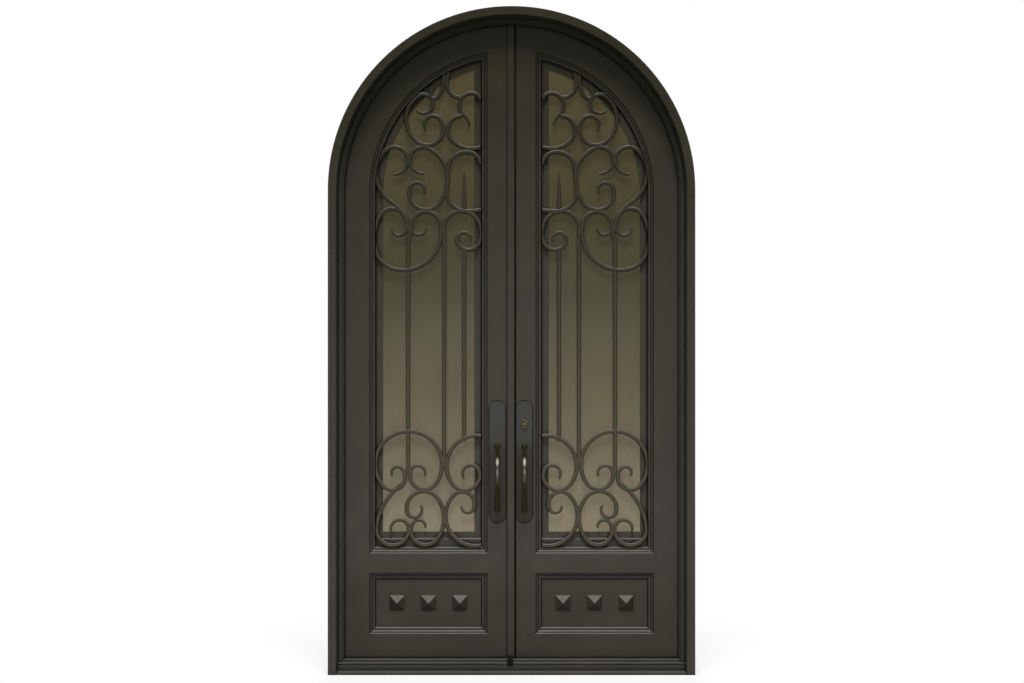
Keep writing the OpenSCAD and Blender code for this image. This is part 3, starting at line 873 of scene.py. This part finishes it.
def make_pull(centre_x, low_z, high_z):
    stock = Stock()
    stock.skin(grip_rings(centre_x, low_z, high_z))
    for z in (low_z, high_z):
        turned(stock, (centre_x, plate_face, z), STREETWARD, POST, POST_SIDES)
    knob(stock, (centre_x, plate_face - PULL_REACH, high_z + HEAD_KNOB_LIFT), HEAD_KNOB)
    knob(stock, (centre_x, plate_face - PULL_REACH, low_z), FOOT_KNOB)
    return stock


# %% The four pulls
BALL_RADIUS = 10.5 * MM
leaf_middle_y = (leaf_front + leaf_back) / 2
for side in SIDES:
    pulls_low, pulls_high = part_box(f"pulls_{side}")
    pull_x = (pulls_low.x + pulls_high.x) / 2
    low_post_z = pulls_low.z + BALL_RADIUS
    high_post_z = pulls_high.z - BALL_RADIUS
    street = make_pull(pull_x, low_post_z, high_post_z)
    room = make_pull(pull_x, low_post_z, high_post_z).mirrored(Y_AXIS, leaf_middle_y)
    make_piece(f"street_pull_{side}", street, pull_bronze, f"leaf_{side}",
               [f"pulls_{side}"])
    make_piece(f"room_pull_{side}", room, pull_bronze, f"leaf_{side}")

# %% [markdown]
# ## Gaskets behind the plates
# A plate on an outside door is bedded on a thin black gasket, which keeps rain out of the
# holes for the lock. It stands out a little all round, and its black draws a dark line about
# the plate: a painted shadow along the plate's edge.

# %% Gaskets
GASKET_REACH = 3.4 * MM
GASKET_THICK = 1.2 * MM
END_POINTS = 24


def gasket_ring(low, high, y):
    radius = (high.x - low.x) / 2 + GASKET_REACH
    middle_x = (low.x + high.x) / 2
    ring = []
    for z, start in ((high.z + GASKET_REACH - radius, 0), (low.z - GASKET_REACH + radius, 1)):
        for k in range(END_POINTS + 1):
            angle = math.pi * (start + k / END_POINTS)
            ring.append(Vector((middle_x + radius * math.cos(angle), y,
                                z + radius * math.sin(angle))))
    return ring


# The black rim round each plate is painted shadow.
for side in SIDES:
    plate_low, plate_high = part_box(f"handle_plates_{side}")
    gaskets = Stock()
    for face, out in ((leaf_front, -1), (leaf_back, 1)):
        gaskets.skin([gasket_ring(plate_low, plate_high, y)
                      for y in (face, face + out * GASKET_THICK)])
    make_piece(f"plate_shadow_gaskets_{side}", gaskets, rubber, f"leaf_{side}")

# %% [markdown]
# ## The lock
# The deadbolt shows a bevelled ring round a smaller plug with its key slot outside, and a
# rose with a thumb-turn inside.

# %% Key cylinder
lock_low, lock_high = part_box("deadbolt")
lock_x = (lock_low.x + lock_high.x) / 2
lock_z = (lock_low.z + lock_high.z) / 2
LOCK_SIDES = 48
PLUG_HEIGHT = 11.4
RING_AND_PLUG = [(0.1, 0.0), (18.0, 0.0), (18.0, 6.5), (17.2, 9.6), (14.2, 10.6), (13.6, 9.6),
                 (13.2, 2.0), (9.4, 2.0), (9.0, 9.6), (8.2, PLUG_HEIGHT), (0.1, PLUG_HEIGHT)]
cylinder = Stock()
turned(cylinder, (lock_x, plate_face, lock_z), STREETWARD, RING_AND_PLUG, LOCK_SIDES)
make_piece("key_cylinder", cylinder, lock_bronze, "leaf_right", ["deadbolt"])


# %% [markdown]
# A box with rounded corners serves for the key slot, the thumb-turn and the catches. Its
# section is the same superellipse as the bar's, carried straight through.


# %% Rounded block
BLOCK_POINTS = 24
SOFT_CORNER = 5.0
SOFT_END = 0.08
SQUARE_END = 0.001


def rounded_block(stock, low, high, axis=Y_AXIS, exponent=SOFT_CORNER, ease=SOFT_END):
    others = [k for k in range(3) if k != axis]
    middle = [(a + b) / 2 for a, b in zip(low, high)]
    half = [(b - a) / 2 for a, b in zip(low, high)]
    rings = []
    for share, size in ((-1, 1 - ease), (-1 + ease, 1), (1 - ease, 1), (1, 1 - ease)):
        ring = []
        for k in range(BLOCK_POINTS):
            angle = 2 * math.pi * (k + 0.5) / BLOCK_POINTS
            point = Vector(middle)
            point[axis] += share * half[axis]
            for other, value in zip(others, (math.cos(angle), math.sin(angle))):
                point[other] += size * half[other] * corner(value, exponent)
            ring.append(point)
        rings.append(ring)
    stock.skin(rings)


# %% Key slot
# The slot and the round hole at its head: half width, foot, head, and how square it is
KEYWAY = [[1.1, -5.0, 5.0, SOFT_CORNER], [2.2, 1.6, 5.6, 2.0]]
KEYWAY_PROUD = 0.15 * MM
KEYWAY_DEPTH = 2 * MM
slot_face = plate_face - PLUG_HEIGHT * MM
# The keyway is not cut: a thin black block stands just proud of the plug and paints its shadow.
slot_stock = Stock()
for half_width, foot, head, squareness in KEYWAY:
    rounded_block(slot_stock,
                  (lock_x - half_width * MM, slot_face - KEYWAY_PROUD, lock_z + foot * MM),
                  (lock_x + half_width * MM, slot_face + KEYWAY_DEPTH, lock_z + head * MM),
                  exponent=squareness)
make_piece("key_slot_shadow", slot_stock, rubber, "leaf_right")

# %% Thumb-turn on the room side
ROSE = [(0.1, 0.0), (18.0, 0.0), (18.0, 3.0), (17.0, 5.6), (14.5, 7.4), (9.0, 8.0), (0.1, 8.0)]
THUMB_HALF_WIDTH = 3.8 * MM
THUMB_HALF_HEIGHT = 14.5 * MM
THUMB_ROOT = 6 * MM
THUMB_REACH = 25.6 * MM
THUMB_CORNER = 3.0
room_face = plates_high.y
thumb = Stock()
turned(thumb, (lock_x, room_face, lock_z), ROOMWARD, ROSE, LOCK_SIDES)
rounded_block(thumb,
              (lock_x - THUMB_HALF_WIDTH, room_face + THUMB_ROOT, lock_z - THUMB_HALF_HEIGHT),
              (lock_x + THUMB_HALF_WIDTH, room_face + THUMB_REACH, lock_z + THUMB_HALF_HEIGHT),
              exponent=THUMB_CORNER)
make_piece("thumb_turn", thumb, lock_bronze, "leaf_right")

# %% [markdown]
# ## Screws and catches
# On the room side the plates are screwed through the leaf, and the frame of the glass is
# held by turn catches, so that the glass can be opened for cleaning.


# %% Plate screws
SCREW = [(0.1, 0.0), (4.6, 0.0), (4.6, 0.5), (3.9, 1.5), (2.2, 2.0), (2.0, 0.7), (0.1, 0.7)]
SCREW_INSET = 16 * MM
SCREW_SIDES = 20


def add_plate_screws(side):
    plate_low, plate_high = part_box(f"handle_plates_{side}")
    plate_x = (plate_low.x + plate_high.x) / 2
    screws = Stock()
    for z in (plate_low.z + SCREW_INSET, plate_high.z - SCREW_INSET):
        turned(screws, (plate_x, plate_high.y, z), ROOMWARD, SCREW, SCREW_SIDES)
    make_piece(f"plate_screws_{side}", screws, lock_bronze, f"leaf_{side}")


# %% Turn catches
CATCH_ROSE = [(0.1, 0.0), (9.0, 0.0), (9.0, 2.0), (8.0, 3.2), (5.0, 4.0), (4.6, 9.0), (3.6, 10.5),
              (0.1, 11.0)]
CATCH_SIDES = 24
CATCH_HEIGHTS = (0.60, 1.26, 1.90)
CATCH_FROM_LIGHT = 9 * MM
CATCH_TAIL = 6 * MM
CATCH_TONGUE = 24 * MM
CATCH_HALF_HEIGHT = 6 * MM
CATCH_NEAR = 0.3 * MM
CATCH_FAR = 4.3 * MM
CATCH_CORNER = 3.5


def add_catch(stock, x, z, towards):
    turned(stock, (x, leaf_back, z), ROOMWARD, CATCH_ROSE, CATCH_SIDES)
    ends = (x - CATCH_TAIL * towards, x + CATCH_TONGUE * towards)
    rounded_block(stock, (min(ends), leaf_back + CATCH_NEAR, z - CATCH_HALF_HEIGHT),
                  (max(ends), leaf_back + CATCH_FAR, z + CATCH_HALF_HEIGHT), exponent=CATCH_CORNER)


def add_glass_catches(side, sign):
    meeting_x = sign * (light_low.x - CATCH_FROM_LIGHT)
    hinge_x = sign * (light_high.x + CATCH_FROM_LIGHT)
    catches = Stock()
    for x, towards in ((meeting_x, sign), (hinge_x, -sign)):
        for z in CATCH_HEIGHTS:
            add_catch(catches, x, z, towards)
    make_piece(f"glass_catches_{side}", catches, plate_bronze, f"leaf_{side}")


# %% Screws and catches of both leaves
for side, sign in SIDES.items():
    add_plate_screws(side)
    add_glass_catches(side, sign)

# %% [markdown]
# ## Seals
# A rubber bulb runs round the stop of the frame, a strip lies behind the bump of the sill, and
# each meeting edge carries a flat strip. They keep out the draught. Their black is the rubber's
# own, and in the gaps beside the astragal and under the leaves it also paints the shade there.


# %% Bulb seal round the stop
STOP_WIDTH = 13 * MM
BULB_HALF = 2.2 * MM
BULB_SPREAD = 1.3
BULB_POINTS = 12
stop_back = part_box("stops_jambs")[1].y
stop_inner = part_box("stops_jambs")[1].x - STOP_WIDTH
leaf_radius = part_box("stile_hinge_right")[1].x
bulb_radius = (stop_inner + leaf_radius) / 2


def bulb_ring(x, z, heading):
    ring = []
    for k in range(BULB_POINTS):
        angle = 2 * math.pi * k / BULB_POINTS
        across = BULB_HALF * BULB_SPREAD * math.cos(angle)
        deep = BULB_HALF * (1 + math.sin(angle))
        ring.append(Vector((x - across * math.sin(heading), stop_back + deep,
                            z + across * math.cos(heading))))
    return ring


# %% The seal, up one jamb, over the arch and down the other
ARCH_STEPS = 90
STRIP_BELOW = 9 * MM
STRIP_ABOVE = 0.8 * MM
sill_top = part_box("sill")[1].z
bulb_stations = [(bulb_radius, sill_top, math.radians(90))]
for k in range(ARCH_STEPS + 1):
    angle = math.pi * k / ARCH_STEPS
    bulb_stations.append((bulb_radius * math.cos(angle), spring_z + bulb_radius * math.sin(angle),
                          angle + math.radians(90)))
bulb_stations.append((-bulb_radius, sill_top, math.radians(270)))
bulb = Stock()
bulb.skin([bulb_ring(*station) for station in bulb_stations])
# The strip under the leaves is black rubber, whose black also paints the shade in the gap below them.
rounded_block(bulb, (-bulb_radius, stop_back, sill_top - STRIP_BELOW),
              (bulb_radius, stop_back + 2 * BULB_HALF, sill_top + STRIP_ABOVE),
              axis=X_AXIS, ease=SQUARE_END)
make_piece("stop_seal", bulb, rubber, "frame")

# %% [markdown]
# The strips of the two meeting edges lie one behind the other. Each one is short enough to
# pass the other leaf, whichever leaf is opened first.

# %% Meeting strips
STRIP_REACH = 5.4 * MM
STRIP_LAP = 0.5 * MM
STRIP_THICK = 4 * MM
LEFT_STRIP_IN = 2 * MM
RIGHT_STRIP_IN = 8 * MM
FOOT_GAP = 5 * MM
HEAD_GAP = 3 * MM
meeting_low, meeting_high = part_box("stile_meeting_left")
left_edge = meeting_high.x
right_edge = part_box("stile_meeting_right")[0].x
strip_end = left_edge + STRIP_REACH
seal_foot = meeting_low.z + FOOT_GAP
seal_head = meeting_high.z - HEAD_GAP
left_y = leaf_front + LEFT_STRIP_IN
right_y = leaf_front + RIGHT_STRIP_IN
# Black strips in the meeting gap: rubber, whose black also paints the shade in the gap.
left_strip = Stock()
rounded_block(left_strip, (left_edge, left_y, seal_foot),
              (strip_end, left_y + STRIP_THICK, seal_head), axis=Z_AXIS, ease=SQUARE_END)
make_piece("meeting_strip_left", left_strip, rubber, "leaf_left")
right_strip = Stock()
rounded_block(right_strip, (strip_end - STRIP_LAP, right_y, seal_foot),
              (right_edge, right_y + STRIP_THICK, seal_head), axis=Z_AXIS, ease=SQUARE_END)
make_piece("meeting_strip_right", right_strip, rubber, "leaf_right")

# %% [markdown]
# ## Floor and backdrop
# The door stands on a pale floor in a white studio. A camera that looks past the door has to
# see plain white, but white light from all sides would wash out the dark paint. So the world
# is white for the rays that are seen and softer for the rays that light. The floor melts
# into it with distance and keeps the shadow near the door.

# %% World
WHITE = grey(1.0)
WORLD_LIGHT = 0.08


def light_path(tree):
    return tree.nodes.new("ShaderNodeLightPath").outputs


world = bpy.data.worlds.new("studio")
bpy.context.scene.world = world
world.use_nodes = True
world_tree = world.node_tree
background = world_tree.nodes["Background"]
background.inputs["Color"].default_value = WHITE
path = light_path(world_tree)
direct = Wire(world_tree, path["Is Camera Ray"])
glossy = Wire(world_tree, path["Is Glossy Ray"])
through = Wire(world_tree, path["Is Transmission Ray"])
seen = (direct + glossy + through).between(0.0, 1.0)
plug(world_tree, background.inputs["Strength"], WORLD_LIGHT + (1 - WORLD_LIGHT) * seen)
print("world lights at", WORLD_LIGHT)

# %% Finish of the floor
FADE_NEAR = 0.70
FADE_FROM = 0.8
FADE_TO = 1.6
floor_material, floor_shader, floor_place = new_finish("studio_floor")
floor_tree = floor_material.node_tree
feed(floor_shader, Base_Color=grey(0.82), Roughness=0.85, Specular_IOR_Level=0.1)
distance = floor_place.node("ShaderNodeVectorMath", {"operation": "LENGTH"}, {0: floor_place}, "Value")
white_glow = floor_place.node("ShaderNodeEmission", {}, {"Color": WHITE, "Strength": 1.0})
direct = Wire(floor_tree, light_path(floor_tree)["Is Camera Ray"])
fade = direct * (FADE_NEAR + (1 - FADE_NEAR) * distance.between(FADE_FROM, FADE_TO))
painted = Wire(floor_tree, floor_shader.outputs["BSDF"])
mixed = floor_place.node("ShaderNodeMixShader", {}, {0: fade, 1: painted, 2: white_glow})
plug(floor_tree, floor_tree.nodes["Material Output"].inputs["Surface"], mixed)
print("floor fades from", FADE_FROM, "to", FADE_TO, "m")

# %% Floor
FLOOR_RADIUS = 9.0
FLOOR_SIDES = 96
FLOOR_DROP = 0.5 * MM
floor_mesh = bpy.data.meshes.new("floor")
floor_bm = bmesh.new()
bmesh.ops.create_circle(floor_bm, cap_ends=True, segments=FLOOR_SIDES, radius=FLOOR_RADIUS)
floor_bm.to_mesh(floor_mesh)
floor_bm.free()
floor = bpy.data.objects.new("floor", floor_mesh)
floor.location.z = -FLOOR_DROP
bpy.context.scene.collection.objects.link(floor)
wear(floor, floor_material)
print("floor radius", FLOOR_RADIUS)

# %% [markdown]
# ## Lamps
# One broad lamp high in front gives the bright line on every upward edge and the dark one
# below. A second, weaker one near the floor lifts the lower half, a small one puts the glint
# on the pulls, and two narrow ones at the sides draw thin lines along the upright edges. The
# last one stands behind the door and lights the room side.


# %% Soft lamps
def soft_lamp(name, place, aim, size, power):
    lamp_data = bpy.data.lights.new(name, "AREA")
    lamp_data.shape = "RECTANGLE"
    lamp_data.size = size[0]
    lamp_data.size_y = size[1]
    lamp_data.energy = power
    lamp = bpy.data.objects.new(name, lamp_data)
    lamp.location = place
    lamp.rotation_euler = (Vector(aim) - Vector(place)).to_track_quat("-Z", "Y").to_euler()
    bpy.context.scene.collection.objects.link(lamp)
    print(name, power, "W")


soft_lamp("high_front", (0.0, -3.0, 7.4), (0.0, 0.0, 0.3), (2.8, 1.8), 620)
soft_lamp("low_fill", (0.0, -4.6, 0.6), (0.0, 0.0, 0.6), (2.4, 0.8), 5)
soft_lamp("handle_glint", (0.0, -5.0, 1.5), (0.0, 0.0, 0.9), (2.2, 0.3), 18)
soft_lamp("side_left", (-3.2, -1.6, 1.9), (0.0, 0.0, 1.3), (0.6, 2.4), 3)
soft_lamp("side_right", (3.2, -1.6, 1.9), (0.0, 0.0, 1.3), (0.6, 2.4), 3)
soft_lamp("room_side", (0.0, 4.2, 3.4), (0.0, 0.0, 1.3), (3.0, 1.2), 160)
